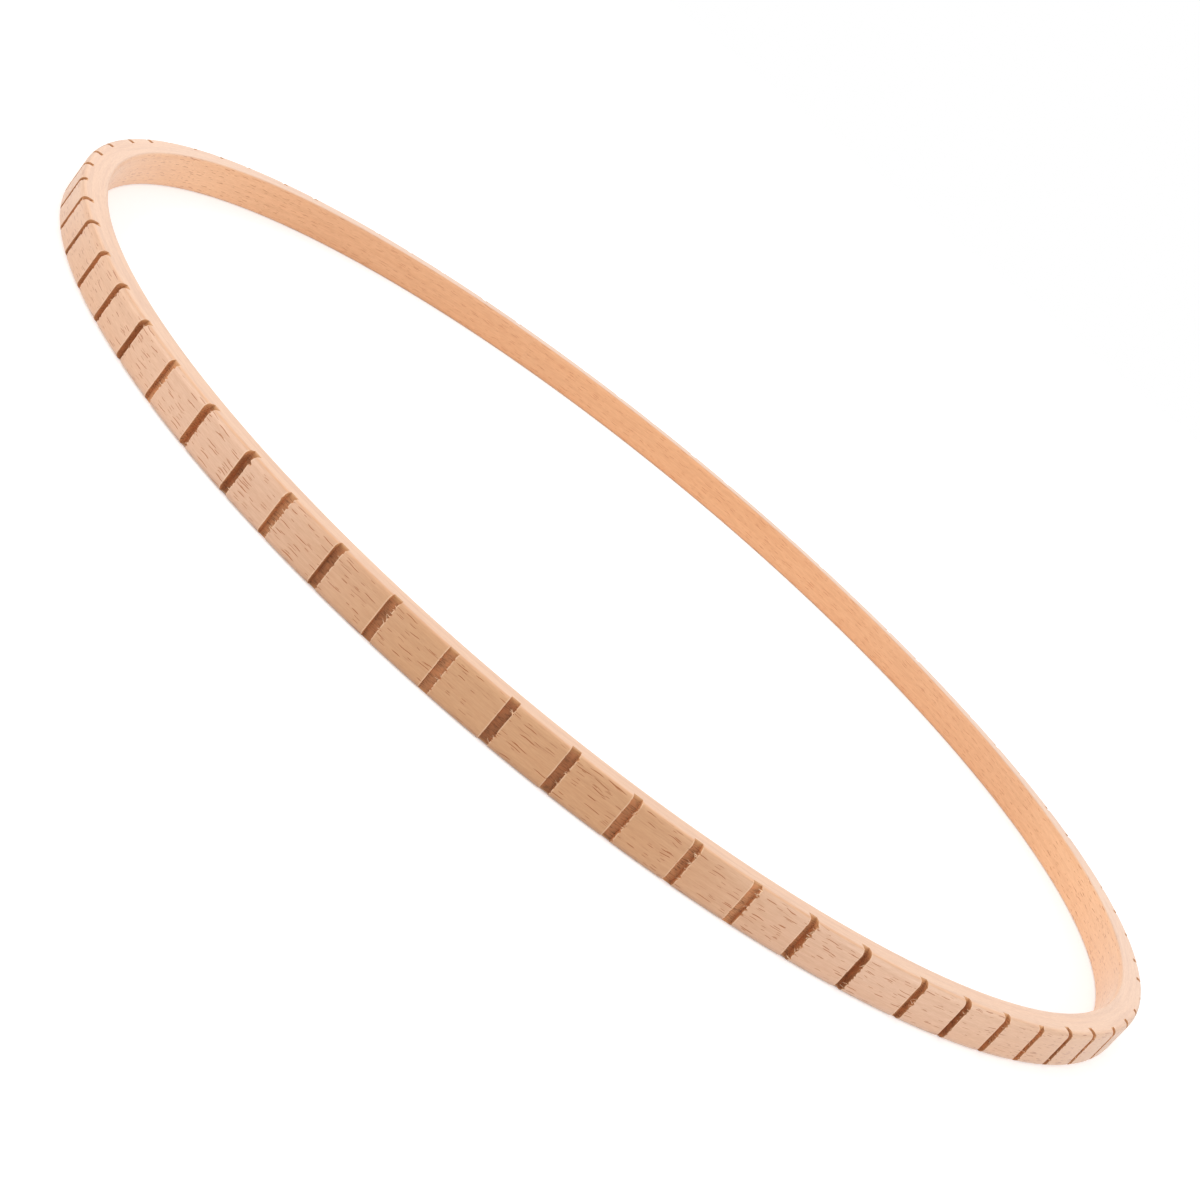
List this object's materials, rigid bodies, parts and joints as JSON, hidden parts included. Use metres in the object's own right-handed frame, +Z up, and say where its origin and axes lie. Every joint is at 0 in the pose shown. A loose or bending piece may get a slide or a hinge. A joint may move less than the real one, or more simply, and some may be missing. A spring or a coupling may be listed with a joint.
{
  "type": "circular weaving loom",
  "caption": "Bent beech hoop with saw kerfs across its outer face that hold warp threads for round weaving, closed by a glued scarf joint.",
  "frame": {"origin": "centre of the hoop, at the level of its underside", "axes": "+Z up along the hoop's axis, -Y towards the front of the picture, +X to the right"},
  "size_m": [0.3, 0.3, 0.009],
  "materials": {
    "beech": "sanded, bare, satin",
    "wood_glue": "dried wood glue, satin"
  },
  "bodies": {
    "root": {"hoop_strip": "beech", "scarf_glue_film": "wood_glue"}
  },
  "joints": []
}
